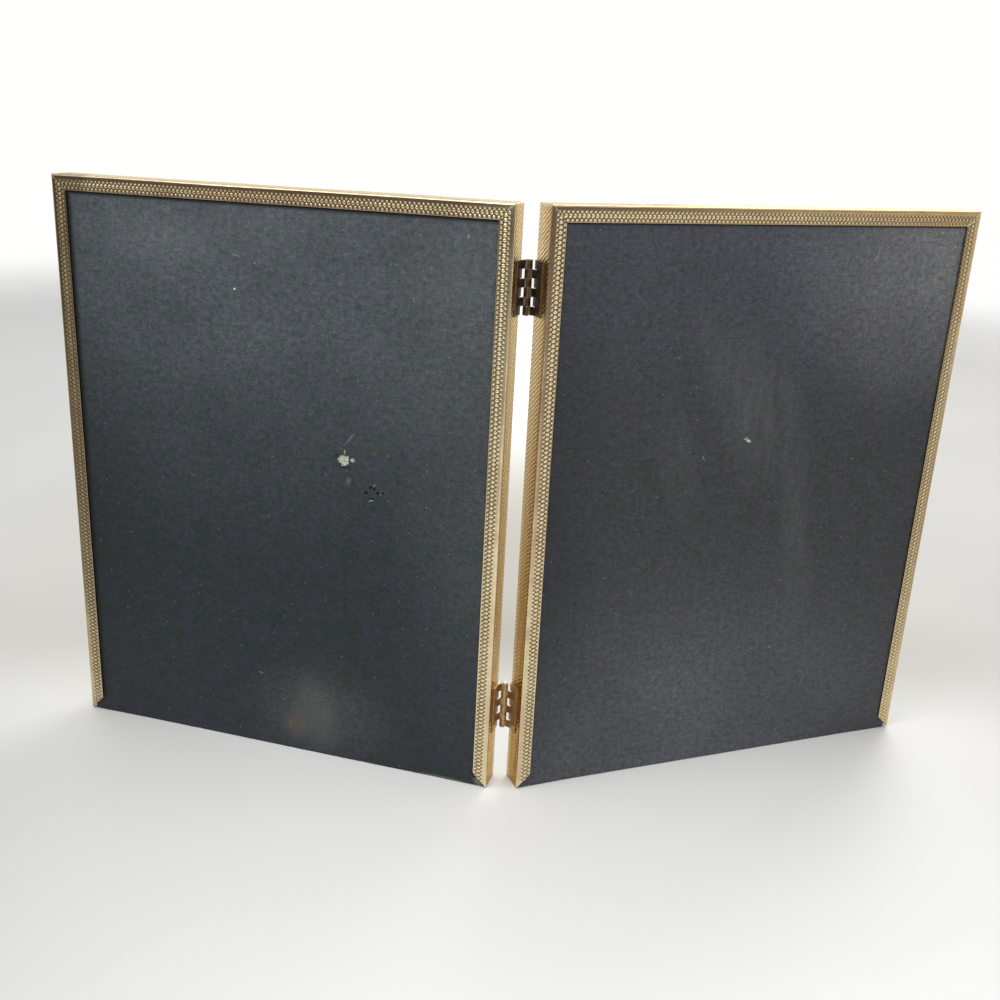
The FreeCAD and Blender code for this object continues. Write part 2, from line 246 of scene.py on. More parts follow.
def moulding_section(depth, wall_depth):
    """Closed section as rows of inwards n, depth d, normal, zone and distance across the zone.

    wall_depth is None for a full channel; the bottom rail has a short wall that ends there and no
    back lip.
    """
    if wall_depth is None:
        rows = [(LIP - across, depth, 0, 1, EMBOSSED, across) for across in LIP_STEPS]
        rows += quarter_round((FOLD, depth - FOLD), 90)
        wall_start = depth - FOLD
        inner_lip = depth - METAL
        ending = [(METAL, inner_lip - INNER_FOLD, 1, 0),
                  (METAL + INNER_FOLD, inner_lip, 0, -1),
                  (LIP - INNER_LIP_EDGE, inner_lip, 0, -1),
                  (LIP, inner_lip + INNER_LIP_EDGE, 1, 0)]
    else:
        rows = [(METAL / 2, wall_depth, 0, 1, PLAIN, 0)]
        wall_start = wall_depth - CUT_EDGE
        ending = [(METAL, wall_start, 1, 0)]
    span = wall_start - FOLD
    for step in np.linspace(0, span, max(4, int(span / WALL_STEP))):
        rows.append((0, wall_start - step, -1, 0, WALL, step))
    rows += quarter_round((FOLD, FOLD), 180)
    rows += [(LIP - across, 0, 0, -1, EMBOSSED, across) for across in LIP_STEPS[::-1] if across > FOLD]
    rows.append((LIP - FOLD, 0, 0, -1, PLAIN, 0))
    rows += quarter_round((LIP - FOLD, FOLD), 270)
    inside = [(LIP, FOLD, 1, 0),
              (LIP, RETURN - CUT_EDGE, 1, 0),
              (LIP - METAL / 2, RETURN, 0, 1),
              (LIP - METAL, RETURN - CUT_EDGE, -1, 0),
              (LIP - METAL, FOLD, -1, 0),
              (LIP - FOLD, METAL, 0, 1),
              (FOLD, METAL, 0, 1),
              (METAL, FOLD, 1, 0)]
    rows += [(*row, PLAIN, 0) for row in inside + ending]
    return np.array(rows, float)


def stitched(number):
    """Faces of a closed skin over a grid of point numbers, some of which repeat along it."""
    following = np.roll(number, -1, axis=1)
    quads = np.stack([number[:-1], number[1:], following[1:], following[:-1]], axis=-1).reshape(-1, 4)
    collapsed = (quads[:, 0] == quads[:, 1]) & (quads[:, 2] == quads[:, 3])
    faces = [list(dict.fromkeys(quad)) for quad in quads[~collapsed].tolist()]
    faces = [corners for corners in faces if len(corners) > 2]
    return faces + [number[0].tolist(), number[-1].tolist()[::-1]]


def moulding(leaf, rail, finish):
    """One mitred rail of a leaf as a closed skin with its embossing in the mesh."""
    name = "%s_rail_%s" % (leaf.name, rail)
    upright = rail in ("hinge_side", "outer")
    length = leaf.height if upright else leaf.far - leaf.near
    wall_depth = leaf.local(name)[:, 1].max() if rail == "bottom" else None
    rows = moulding_section(leaf.depth, wall_depth)
    # The pattern runs the other way on two of the rails
    stock = -1 if rail in ("outer", "bottom") else 1
    # Along the rail, from end to end, with a sample on every bead
    count = 2 * int(length / 2 / PITCH * SAMPLES) + 3
    along = (np.arange(count) - count // 2) * PITCH / SAMPLES
    s, n = np.meshgrid(along, rows[:, 0], indexing="ij")
    d, normal_n, normal_d, zone, across = (np.broadcast_to(rows[:, k], s.shape) for k in range(1, 6))
    band = embossed_band(across) * (zone == EMBOSSED)
    beads = lip_relief(s * stock, across) * band
    span = rows[rows[:, 4] == WALL][:, 5].max()
    ground = np.where(d < leaf.depth / 2, FRONT_GROUND, GROUND)
    height = beads * BEAD_HEIGHT - band * ground + wall_relief(s * stock, across, span) * (zone == WALL)
    rolled = (zone == EMBOSSED) * (1 - smooth_step(across, 0, ROLLED_WIDTH))
    sway = waves([s, across * ACROSS_FACTOR], RAIL_WAVES, len(name)) * RAIL_SWAY
    height = height - rolled * ROLLED_DEPTH + np.where(zone != PLAIN, sway, 0)
    # The two samples next to each mitre follow it, and the metal turns down there
    limit = length / 2 - rows[:, 0] - MITRE_GAP
    low = (s <= MITRE_REACH - limit).sum(0) - 2
    high = count + 1 - (s >= limit - MITRE_REACH).sum(0)
    held = np.clip(np.arange(count)[:, None], low, high)
    s, n, d, height, beads = (np.take_along_axis(field, held, 0) for field in (s, n, d, height, beads))
    last = (held == low) | (held == high)
    proud = ((leaf.name, rail) in BURR) & last & (s > 0) & (d > leaf.depth / 2)
    height = height - last * (zone != PLAIN) * MITRE_TURN + proud * BURR_HEIGHT
    n = n + normal_n * height
    d = d + normal_d * height
    end = length / 2 - n - MITRE_GAP
    s = np.where(held == low, -end, np.where(held == high, end, s))
    s = np.where(held == low + 1, MITRE_EDGE - end, np.where(held == high - 1, end - MITRE_EDGE, s))
    middle = (leaf.near + leaf.far) / 2
    if rail == "hinge_side":
        place = leaf.world(leaf.near + n, d, length / 2 + s)
    elif rail == "outer":
        place = leaf.world(leaf.far - n, d, length / 2 + s)
    elif rail == "top":
        place = leaf.world(middle + s, d, leaf.height - n)
    else:
        place = leaf.world(middle + s, d, n)
    # Points that were drawn together into the mitre are one
    used, number = np.unique(held * len(rows) + np.arange(len(rows)), return_inverse=True)
    faces = stitched(number.reshape(held.shape))
    obj = make_object(name + "_embossed", place.reshape(-1, 3)[used], faces, finish)
    fields = {
        "hollow": band * (1 - beads),
        "bead": beads,
        "wall": np.where(zone == WALL, 1.0, 0.0),
        "mitre": (last & ~proud).astype(float),
        "burr": proud.astype(float),
    }
    for field, values in fields.items():
        give_points(obj, field, values.ravel()[used])
    give_points(obj, "stock", np.stack([s * stock, across, zone], axis=-1).reshape(-1, 3)[used])
    fix_normals(obj)
    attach(obj, leaf.body)
    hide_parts(name)


def fix_normals(obj):
    work = bmesh.new()
    work.from_mesh(obj.data)
    bmesh.ops.recalc_face_normals(work, faces=work.faces)
    work.to_mesh(obj.data)
    work.free()


# Boards

# Grid lines of a board: their spacing, and the least one
BOARD_STEP = 2.2 * MM
LEAST_STEP = 0.08 * MM
# Finer zones of the grid: half width and spacing of the lines
SIGHT_ZONE = (1.5 * MM, 0.3 * MM)
TOP_ZONE = (2.5 * MM, 0.3 * MM)
BASE_ZONE = (4 * MM, 0.35 * MM)
STRIP_ZONE = (3.6 * MM, 0.4 * MM)
TEAR_ZONE = ((5 * MM, 0.2 * MM), (4.5 * MM, 0.2 * MM))
DENT_ZONE = ((6 * MM, 0.22 * MM), (5 * MM, 0.22 * MM))
# Insets of the lips' sight edges and of the painted shadow strip from a board's edges
SIGHT_INSET = 6 * MM
STRIP_INSET = 7.5 * MM

# How a board warps, how far it sinks, and where that starts and is full, from its edges inwards
BOARD_SEED = 5
BOARD_WAVES = (0.31, 0.17, 0.083)
BOARD_SWAY = 0.22 * MM
BOARD_SINK = 0.24 * MM
BOARD_FREE = (5 * MM, 30 * MM)

# Frayed lower edge: mean height and unevenness, the same at the worn corner, and the corner's reach
FRAY_SEED = 17
FRAY_WAVES = (0.0017, 0.0031, 0.0067, 0.013)
FRAY = (0.16 * MM, 0.14 * MM)
WORN_CORNER = (0.5 * MM, 0.4 * MM)
CORNER_REACH = 3.5 * MM

# Torn patch of the left board, in millimetres from the pins outwards and from the base up:
# its middle and half sizes, the waves of its outline, and two flaps at its rim
TEAR = (73.4, 145.6)
TEAR_SIZE = (2.55, 2.55 / 1.08)
TEAR_OUTLINE = ((3, 0.6, 0.10), (5, 2.0, 0.10), (9, 0.0, 0.07))
TEAR_FLAPS = (((69.4, 146.1), (0.95, 0.95 / 1.1)), ((73.0, 149.2), (0.35, 1.0)))
TEAR_SEED = 3
TEAR_WAVES = (0.0009, 0.0013, 0.0021)
# Depth of the tear and height of its rim, each with its unevenness
TEAR_DEPTH = (-0.2 * MM, 0.16 * MM)
TEAR_RIM = (0.2 * MM, 0.12 * MM)
# Where its edge starts and ends, and the rim's place and width, as parts of its size
TEAR_EDGE = (0.85, 1.05)
RIM_PLACE = 1.15
RIM_WIDTH = 0.16

# Dents beside it: middle, half sizes, turn in degrees
DENTS = [((61.0, 134.9), (0.5, 0.8), 35), ((63.0, 132.2), (0.75, 0.75), 0),
         ((57.5, 132.6), (0.6, 0.8), -40), ((60.0, 129.9), (0.8, 0.45), 20),
         ((55.5, 132.9), (0.6, 0.45), -30), ((59.3, 134.4), (0.4, 0.6), -20)]
DENTS_MIDDLE = (60, 133)
DENT_DEPTH = 0.55 * MM
DENT_RIM = 0.2 * MM
DENT_EDGE = (0.7, 1.25)
DENT_RIM_PLACE = 1.7
DENT_RIM_WIDTH = 0.5

# How much wider than at the hinge side the lips' painted shadow strip is, at the outer side and the top
LIP_SHADOW_WIDTHS = {"left": (7.0, 4.5), "right": (1.0, 2.2)}
# Where the painted shadow strip fades out past the lips, and where it fades in above the base
STRIP_FADE = (0.05 * MM, 0.5 * MM)
STRIP_RISE = (4.5 * MM, 9 * MM)


def spread_lines(low, high, dense):
    """Grid lines between two ends, closer together round each dense spot of centre, reach and step."""
    lines = list(np.linspace(low, high, int((high - low) / BOARD_STEP) + 2))
    for centre, reach, fine in dense:
        lines = [line for line in lines if abs(line - centre) > reach or line in (low, high)]
        lines += [line for line in np.arange(centre - reach, centre + reach, fine) if low < line < high]
    lines = sorted(lines)
    kept = [lines[0]]
    for line in lines[1:-1]:
        if line - kept[-1] > LEAST_STEP and high - line > LEAST_STEP:
            kept.append(line)
    return np.array(kept + [lines[-1]])


def oval(u, z, middle, half, turn=0.0):
    """Distance from the middle of a turned oval, 1 on its outline. Its sizes are in millimetres."""
    c, s = math.cos(math.radians(turn)), math.sin(math.radians(turn))
    du, dz = u - middle[0] * MM, z - middle[1] * MM
    return np.hypot((du * c + dz * s) / (half[0] * MM), (dz * c - du * s) / (half[1] * MM))


def tear_and_dents(u, z):
    """How torn and how dented the board is at each place, and how far that lifts it."""
    angle = np.arctan2(z - TEAR[1] * MM, u - TEAR[0] * MM)
    wobble = sum(size * np.sin(count * angle + phase) for count, phase, size in TEAR_OUTLINE)
    reach = oval(u, z, TEAR, TEAR_SIZE) / (1 + wobble)
    for middle, half in TEAR_FLAPS:
        reach = np.minimum(reach, oval(u, z, middle, half))
    torn = 1 - smooth_step(reach, *TEAR_EDGE)
    rim = np.exp(-((reach - RIM_PLACE) / RIM_WIDTH) ** 2)
    ragged = waves([u, z], TEAR_WAVES, TEAR_SEED)
    lift = torn * (TEAR_DEPTH[0] + TEAR_DEPTH[1] * ragged) + rim * (TEAR_RIM[0] + TEAR_RIM[1] * ragged)
    dent = np.zeros(u.shape)
    for middle, half, turn in DENTS:
        hole = oval(u, z, middle, half, turn)
        dent = np.maximum(dent, 1 - smooth_step(hole, *DENT_EDGE))
        lift += DENT_RIM * np.exp(-((hole - DENT_RIM_PLACE) / DENT_RIM_WIDTH) ** 2)
        lift -= DENT_DEPTH * np.exp(-hole ** 4)
    return torn, dent, lift


def board(leaf, finish):
    """A paper-faced board with a slight bow, a frayed lower edge, and its tear and dents on the left."""
    name = leaf.name + "_backing_board"
    node = leaf.local(name)
    low, high = node.min(0), node.max(0)
    dense_u = [(low[0] + SIGHT_INSET, *SIGHT_ZONE), (high[0] - SIGHT_INSET, *SIGHT_ZONE)]
    dense_z = [(low[2], *BASE_ZONE), (high[2] - SIGHT_INSET, *TOP_ZONE)]
    marked = leaf.name == "left"
    if marked:
        dense_u += [(high[0] - STRIP_INSET, *STRIP_ZONE)]
        dense_u += [(TEAR[0] * MM - MM, *TEAR_ZONE[0]), (DENTS_MIDDLE[0] * MM, *DENT_ZONE[0])]
        dense_z += [(TEAR[1] * MM, *TEAR_ZONE[1]), (DENTS_MIDDLE[1] * MM, *DENT_ZONE[1])]
    us = spread_lines(low[0], high[0], dense_u)
    zs = spread_lines(low[2], high[2], dense_z)
    u, z = np.meshgrid(us, zs, indexing="ij")
    border = np.minimum(np.minimum(u - low[0], high[0] - u), high[2] - z)
    sway = waves([u, z], BOARD_WAVES, BOARD_SEED + leaf.side) * BOARD_SWAY
    lift = (sway - BOARD_SINK) * smooth_step(border, *BOARD_FREE)
    torn = np.zeros(u.shape)
    dent = np.zeros(u.shape)
    if marked:
        torn, dent, lifted = tear_and_dents(u, z)
        lift = lift + lifted
    fray = waves([us, us * 0], FRAY_WAVES, FRAY_SEED + leaf.side)
    corner = np.exp(-((us - low[0]) / CORNER_REACH) ** 2)
    ragged_edge = FRAY[0] + FRAY[1] * fray + corner * (WORN_CORNER[0] + WORN_CORNER[1] * fray)
    z_back = np.where(z < low[2] + LEAST_STEP / 2, ragged_edge[:, None], z)
    nu, nz = u.shape
    back = leaf.world(u, high[1] + lift, z_back)
    front = leaf.world(u, low[1], z)
    verts = np.concatenate([back.reshape(-1, 3), front.reshape(-1, 3)])
    index = np.arange(nu * nz).reshape(nu, nz)
    quads = np.stack([index[:-1, :-1], index[1:, :-1], index[1:, 1:], index[:-1, 1:]], axis=-1)
    quads = quads.reshape(-1, 4)
    rim = np.concatenate([index[:-1, 0], index[-1, :-1], index[:0:-1, -1], index[0, :0:-1]])
    after = np.roll(rim, -1)
    faces = quads.tolist() + (quads[:, ::-1] + nu * nz).tolist()
    faces += np.stack([after, rim, rim + nu * nz, after + nu * nz], axis=-1).tolist()
    obj = make_object(name + "_paper", verts, faces, finish)
    # Painted shadow that the lips cast on the board: a dark strip beside them, widest at the left board's
    # outer edge and along the top
    wide_outer, wide_top = LIP_SHADOW_WIDTHS[leaf.name]
    sight = np.minimum(u - leaf.near - LIP, (leaf.far - u - LIP) / wide_outer)
    sight = np.minimum(sight, (leaf.height - z - LIP) / wide_top)
    covered = (1 - smooth_step(sight, *STRIP_FADE)) * smooth_step(z, *STRIP_RISE)
    zero = np.zeros(nu * nz)
    for field, values in (("torn", torn), ("dent", dent), ("covered", covered)):
        give_points(obj, field, np.concatenate([values.ravel(), zero]))
    place = np.stack([u.ravel(), z.ravel(), zero], axis=-1)
    give_points(obj, "place", np.concatenate([place, place]))
    fix_normals(obj)
    soften(obj, BOARD_ROUNDING)
    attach(obj, leaf.name + "_board")
    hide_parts(name)


def soften(obj, width):
    """Rounds the sharp edges of a mesh and shades it by its faces' areas."""
    bevel = obj.modifiers.new("rounded", "BEVEL")
    bevel.width = width
    bevel.segments = BEVEL_STEPS
    bevel.limit_method = "ANGLE"
    bevel.angle_limit = math.radians(SHARP_ANGLE)
    bevel.use_clamp_overlap = True
    normals = obj.modifiers.new("shading", "WEIGHTED_NORMAL")
    normals.keep_sharp = True


def from_solid(node, suffix, body, finish, width):
    """A rounded, welded copy of a CAD node that stands for it."""
    mesh = frame["nodes"][node].data.copy()
    work = bmesh.new()
    work.from_mesh(mesh)
    bmesh.ops.remove_doubles(work, verts=work.verts, dist=WELD)
    bmesh.ops.dissolve_limit(work, angle_limit=math.radians(FLAT_ANGLE), verts=work.verts, edges=work.edges)
    work.to_mesh(mesh)
    work.free()
    obj = shown_object(node + suffix, mesh, finish)
    soften(obj, width)
    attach(obj, body)
    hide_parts(node)


# Materials

class Nodes:
    """A node tree in the making. Most methods add a node and return its output socket."""

    def __init__(self, tree):
        self.tree = tree

    def node(self, kind, inputs=(), output=0, **settings):
        node = self.tree.nodes.new("ShaderNode" + kind)
        for key, value in settings.items():
            setattr(node, key, value)
        for key, value in dict(inputs).items():
            self.feed(node.inputs[key], value)
        return node.outputs[output]

    def feed(self, socket, value):
        if isinstance(value, bpy.types.NodeSocket):
            self.tree.links.new(value, socket)
        elif isinstance(value, tuple) and len(value) == 3 and socket.type == "RGBA":
            socket.default_value = (*value, 1)
        else:
            socket.default_value = value

    def attribute(self, name, output="Fac"):
        return self.node("Attribute", output=output, attribute_name=name)

    def object_place(self):
        return self.node("TexCoord", output="Object")

    def math(self, operation, first, second=0.0):
        return self.node("Math", {0: first, 1: second}, operation=operation)

    def times(self, first, second):
        return self.math("MULTIPLY", first, second)

    def plus(self, first, second):
        return self.math("ADD", first, second)

    def larger(self, first, second):
        return self.math("MAXIMUM", first, second)

    def inverse(self, value):
        """What is left of 1."""
        return self.math("SUBTRACT", 1.0, value)

    def scaled(self, vector, by):
        return self.node("VectorMath", {0: vector, 1: by}, operation="MULTIPLY")

    def parts(self, vector):
        node = self.tree.nodes.new("ShaderNodeSeparateXYZ")
        self.feed(node.inputs[0], vector)
        return node.outputs

    def noise(self, place, size, detail, roughness, distortion=0.0):
        return self.node("TexNoise", {"Vector": place, "Scale": 1 / size, "Detail": detail,
                                      "Roughness": roughness, "Distortion": distortion})

    def cells(self, place, size):
        return self.node("TexVoronoi", {"Vector": place, "Scale": 1 / size})

    def span(self, value, low, high, start=0.0, end=1.0, smooth=True):
        """start below low, end above high, and a ramp between them."""
        inputs = {"Value": value, "From Min": low, "From Max": high, "To Min": start, "To Max": end}
        return self.node("MapRange", inputs, interpolation_type="SMOOTHSTEP" if smooth else "LINEAR")

    def mix(self, amount, first, second, blend="MIX"):
        inputs = {0: amount, 6: first, 7: second}
        return self.node("Mix", inputs, output=2, data_type="RGBA", blend_type=blend)

    def bump(self, height, distance, strength=1.0, normal=None):
        inputs = {"Height": height, "Distance": distance, "Strength": strength}
        if normal is not None:
            inputs["Normal"] = normal
        return self.node("Bump", inputs)

    def edges(self, radius):
        """1 on edges that rubbing lays bare, 0 on the flats."""
        soft = self.node("Bevel", {"Radius": radius}, samples=4)
        true = self.node("NewGeometry", output="Normal")
        likeness = self.node("VectorMath", {0: soft, 1: true}, output="Value", operation="DOT_PRODUCT")
        return self.span(likeness, 0.75, 0.98, 1.0, 0.0)

    def length(self, first, second):
        return self.math("SQRT", self.plus(self.math("POWER", first, 2.0), self.math("POWER", second, 2.0)))

    def ellipse(self, parts, centre, reach, turn, softness):
        """A soft-edged patch in leaf coordinates, in millimetres: 1 inside, 0 outside."""
        du = self.math("SUBTRACT", parts[0], centre[0] * MM)
        dz = self.math("SUBTRACT", parts[1], centre[1] * MM)
        c, s = math.cos(math.radians(turn)), math.sin(math.radians(turn))
        first = self.plus(self.times(du, c / (reach[0] * MM)), self.times(dz, s / (reach[0] * MM)))
        second = self.plus(self.times(du, -s / (reach[1] * MM)), self.times(dz, c / (reach[1] * MM)))
        far = self.length(first, second)
        return self.span(far, 1 - softness, 1.0 + softness * 0.2, 1.0, 0.0)


class Finish(Nodes):
    """A material in the making, with its Principled shader."""

    def __init__(self, name):
        self.material = bpy.data.materials.new(name)
        self.material.use_nodes = True
        super().__init__(self.material.node_tree)
        self.shader = self.tree.nodes["Principled BSDF"]

    def set(self, **inputs):
        for key, value in inputs.items():
            self.feed(self.shader.inputs[key.replace("_", " ").title()], value)


# Heights and places across the object where the brass changes: the upper faces of the top rails,
# and where an outer rail starts
TOP_FACE = (0.2551, 0.2555)
OUTER_RAIL = (0.184, 0.189)

# Colours of the brass, each with its duller neighbour, and of the films, dirt, painted shade and painted
# reflection on it
LIP_GOLD = (0.80, 0.68, 0.43)
LIP_DULL = (0.66, 0.52, 0.33)
LOW_WALL = (0.50, 0.29, 0.095)
LOW_WALL_DULL = (0.41, 0.23, 0.068)
HIGH_WALL = (1.0, 0.88, 0.60)
HIGH_WALL_DULL = (0.98, 0.80, 0.50)
BACK_FOLD = (0.40, 0.23, 0.08)
FRONT_FOLD = (0.80, 0.74, 0.58)
UPPER_FACE_REFLECTION = (0.74, 0.69, 0.55)
BLOTCH_BROWN = (0.45, 0.32, 0.18)
GRAIN_BROWN = (0.48, 0.38, 0.31)
STROKE_DIRT = (0.30, 0.15, 0.04)
LIP_FILM_AND_SHADE = (0.46, 0.32, 0.20)
OLIVE_SHADE = (0.26, 0.21, 0.13)
GREY_FILM = (0.42, 0.36, 0.26)
RIGHT_FILM = (0.56, 0.39, 0.16)
CORNER_FILM = (0.44, 0.29, 0.13)
RUBBED_GOLD = (1.0, 0.90, 0.60)
BEAD_DIRT = (0.20, 0.125, 0.045)
BURR_GOLD = (1.0, 0.93, 0.80)
GOLDEN_GLOSS = (0.98, 0.87, 0.65)


def brass_finish():
    """Thin pressed sheet, gold-coloured, with brown patina in the hollows, a dull uneven film, and painted
    shade and painted reflection on its walls, upper faces and lips.
    """
    f = Finish("aged_brass")
    place = f.object_place()
    across, _, height = f.parts(place)
    hollow = f.attribute("hollow")
    wall = f.attribute("wall")
    stock = f.parts(f.attribute("stock", "Vector"))
    film = f.noise(place, 24 * MM, 3.0, 0.6)
    blotch = f.noise(place, 6 * MM, 4.0, 0.65, 0.4)
    grain = f.noise(place, 0.7 * MM, 3.0, 0.6)
    lip = f.mix(f.span(film, 0.35, 0.65), LIP_GOLD, LIP_DULL)
    # Side walls: browner towards the base and paler at the top, which is painted shade and painted
    # reflection, and browner towards the back fold and paler at the front fold
    low = f.mix(f.span(film, 0.35, 0.7), LOW_WALL, LOW_WALL_DULL)
    high = f.mix(f.span(film, 0.35, 0.7), HIGH_WALL, HIGH_WALL_DULL)
    rise = f.span(f.plus(height, f.times(film, 0.08)), 0.12, 0.27)
    side = f.mix(rise, low, high)
    side = f.mix(f.span(stock[1], 0.0, 2.6 * MM, 0.5, 0.0), side, BACK_FOLD)
    side = f.mix(f.span(stock[1], 7.5 * MM, 10.5 * MM, 0.0, 0.55), side, FRONT_FOLD)
    # The top rails' upper faces are painted paler and plainer, a painted reflection
    upper = f.span(height, *TOP_FACE)
    plain = f.inverse(f.times(upper, 0.75))
    side = f.mix(f.times(upper, 0.9), side, UPPER_FACE_REFLECTION)
    colour = f.mix(wall, lip, side)
    colour = f.mix(f.times(f.span(blotch, 0.45, 0.75, 0.0, 0.25), plain), colour, BLOTCH_BROWN)
    colour = f.mix(f.times(f.span(grain, 0.5, 0.75, 0.0, 0.22), plain), colour, GRAIN_BROWN)
    # Dirt between the slanting strokes and, thinner, in the furrows between the columns
    column = f.math("DIVIDE", stock[1], COLUMN)
    stroke = f.plus(f.math("DIVIDE", stock[0], PITCH), f.times(stock[1], STROKE_LEAN / PITCH))
    ribs = f.math("SINE", f.times(stroke, 2 * math.pi))
    ribs = f.times(f.span(ribs, -0.75, 0.9, 0.0, 1.0), wall)
    furrow = f.math("COSINE", f.times(column, 2 * math.pi))
    furrow = f.times(f.span(furrow, 0.45, 1.0), wall)
    gap = f.times(f.math("SUBTRACT", wall, ribs), f.span(blotch, 0.25, 0.7, 0.95, 0.75))
    dirt = f.larger(gap, f.times(furrow, 0.3))
    dirt = f.times(dirt, f.span(height, 0.04, 0.16, 0.5, 0.72))
    dirt = f.times(dirt, plain)
    colour = f.mix(dirt, colour, STROKE_DIRT)
    grime = f.times(f.span(hollow, 0.76, 0.94, 0.0, 0.85), f.span(blotch, 0.2, 0.7, 0.75, 1.1))
    grime = f.larger(grime, f.times(f.attribute("mitre"), 0.5))
    crest = f.attribute("bead")
    # Lips: brown film on the plain band and between the beads, thicker towards the top; the thickening
    # towards the top is painted shade
    tarnish_and_shade = f.times(f.span(crest, 0.0, 0.45, 1.0, 0.0), f.inverse(wall))
    tarnish_and_shade = f.times(tarnish_and_shade, f.span(f.plus(height, f.times(film, 0.07)), 0.07, 0.17))
    tarnish_and_shade = f.times(tarnish_and_shade, f.span(blotch, 0.25, 0.75, 0.5, 0.9))
    # The left leaf's lip next to the pins is kept clear of the film so that it shows bright: painted light
    bright_hinge_lip = f.times(f.span(across, -0.03, -0.015), f.span(across, 0.0, 0.002, 1.0, 0.0))
    tarnish_and_shade = f.times(tarnish_and_shade, f.inverse(bright_hinge_lip))
    colour = f.mix(tarnish_and_shade, colour, LIP_FILM_AND_SHADE)
    # The left leaf's outer rail is painted darkest, olive brown, more so towards the top, which is painted
    # shade, and the right leaf's slightly dull
    left_outer = f.span(across, -OUTER_RAIL[1], -OUTER_RAIL[0], 1.0, 0.0)
    olive = f.times(left_outer, f.span(height, 0.02, 0.10, 0.38, 0.80))
    colour = f.mix(f.times(olive, f.span(film, 0.3, 0.7, 0.8, 1.1)), colour, OLIVE_SHADE)
    colour = f.mix(f.span(across, *OUTER_RAIL, 0.0, 0.2), colour, GREY_FILM)
    colour = f.mix(f.span(across, 0.015, 0.05, 0.0, 0.35), colour, RIGHT_FILM)
    corner = f.times(f.span(across, 0.08, 0.19), f.span(height, 0.17, 0.25))
    colour = f.mix(f.times(corner, 0.45), colour, CORNER_FILM)
    # Beads rubbed bright, least on the left leaf's outer and top rails; that lesser brightness there,
    # growing towards the top, is painted shade
    dull = f.times(f.span(across, -0.04, -0.015, 1.0, 0.0), f.span(height, 0.03, 0.15, 0.3, 0.9))
    rubbed = f.times(f.span(crest, 0.12, 0.5, 0.0, 0.75), f.inverse(dull))
    rubbed = f.times(rubbed, f.inverse(f.times(corner, 0.55)))
    colour = f.mix(rubbed, colour, RUBBED_GOLD)
    # The right leaf's top and outer rails have less dirt between the beads
    grime = f.times(grime, f.span(across, 0.015, 0.04, 1.0, 0.6))
    colour = f.mix(grime, colour, BEAD_DIRT)
    colour = f.mix(f.attribute("burr"), colour, BURR_GOLD)
    rough = f.plus(f.span(blotch, 0.3, 0.8, 0.17, 0.32), f.times(grime, 0.25))
    f.set(Base_color=colour, Metallic=1.0, Roughness=rough, Specular_tint=GOLDEN_GLOSS)
    relief = f.times(f.plus(ribs, f.times(furrow, -0.3)), plain)
    relief = f.times(relief, f.span(height, 0.04, 0.16, 0.5, 1.0))
    f.set(Normal=f.bump(grain, 0.02 * MM, 0.7, f.bump(relief, 0.15 * MM)))
    return f.material


# Bronzed sheet, its darker and golden parts and its bare edges
BRONZE = (0.22, 0.145, 0.085)
DARK_BRONZE = (0.075, 0.05, 0.034)
PLATING = (0.74, 0.50, 0.24)
DULL_PLATING = (0.50, 0.31, 0.14)
BARE_EDGE = (0.86, 0.68, 0.42)


def bronze_finish():
    """Dark bronzed sheet, dull, with the plating worn from its edges."""
    f = Finish("dark_bronze")
    place = f.object_place()
    blotch = f.noise(place, 2.5 * MM, 4.0, 0.65)
    grain = f.noise(place, 0.35 * MM, 3.0, 0.6)
    worn = f.times(f.edges(0.3 * MM), f.span(blotch, 0.3, 0.6, 0.45, 1.0))
    colour = f.mix(f.span(blotch, 0.35, 0.7), BRONZE, DARK_BRONZE)
    # The lower hinge has kept more of its golden plating
    low = f.span(f.parts(place)[2], 0.06, 0.14, 0.75, 0.0)
    colour = f.mix(low, colour, f.mix(f.span(blotch, 0.35, 0.7), PLATING, DULL_PLATING))
    colour = f.mix(worn, colour, BARE_EDGE)
    rough = f.span(grain, 0.2, 0.8, 0.34, 0.52)
    f.set(Base_color=colour, Metallic=0.9, Roughness=rough, Normal=f.bump(grain, 0.02 * MM, 0.8))
    return f.material


def steel_finish(name, tone, roughness, metallic):
    """Drawn or plated steel with fine marks across it, less metallic where zinc has bloomed on it."""
    f = Finish(name)
    place = f.object_place()
    drawn = f.noise(f.scaled(place, (1.0, 1.0, 14.0)), 1.2 * MM, 3.0, 0.6)
    spots = f.noise(place, 1.6 * MM, 4.0, 0.7)
    dark = tuple(0.55 * part for part in tone)
    colour = f.mix(f.span(spots, 0.5, 0.75, 0.0, 0.7), tone, dark)
    rough = f.span(drawn, 0.25, 0.75, roughness - 0.08, roughness + 0.1)
    f.set(Base_color=colour, Metallic=metallic, Roughness=rough, Normal=f.bump(drawn, 0.008 * MM, 0.6))
    return f.material


# Glass: colour, roughness where it is clean, share of light that it lets through, refraction
GLASS_TINT = (0.97, 0.99, 0.98)
POLISH = 0.012
GLASS_CLEARNESS = 0.94
GLASS_IOR = 1.5


def glass_finish():
    """Clear float glass with a trace of green, a few dust specks and a faint wiped smear."""
    f = Finish("clear_glass")
    place = f.object_place()
    dust = f.span(f.cells(place, 9 * MM), 0.03, 0.05, 1.0, 0.0)
    smear = f.span(f.noise(f.scaled(place, (1.0, 1.0, 0.3)), 22 * MM, 4.0, 0.7, 0.5), 0.5, 0.8, 0.0, 0.05)
    f.set(Base_color=GLASS_TINT, Roughness=f.plus(f.times(dust, 0.3), f.plus(smear, POLISH)))
    # Light reaches the sheet behind the pane
    shadow = f.node("LightPath", output="Is Shadow Ray")
    f.set(Alpha=f.inverse(f.times(shadow, GLASS_CLEARNESS)), Transmission_weight=1.0)
    f.feed(f.shader.inputs["IOR"], GLASS_IOR)
    return f.material


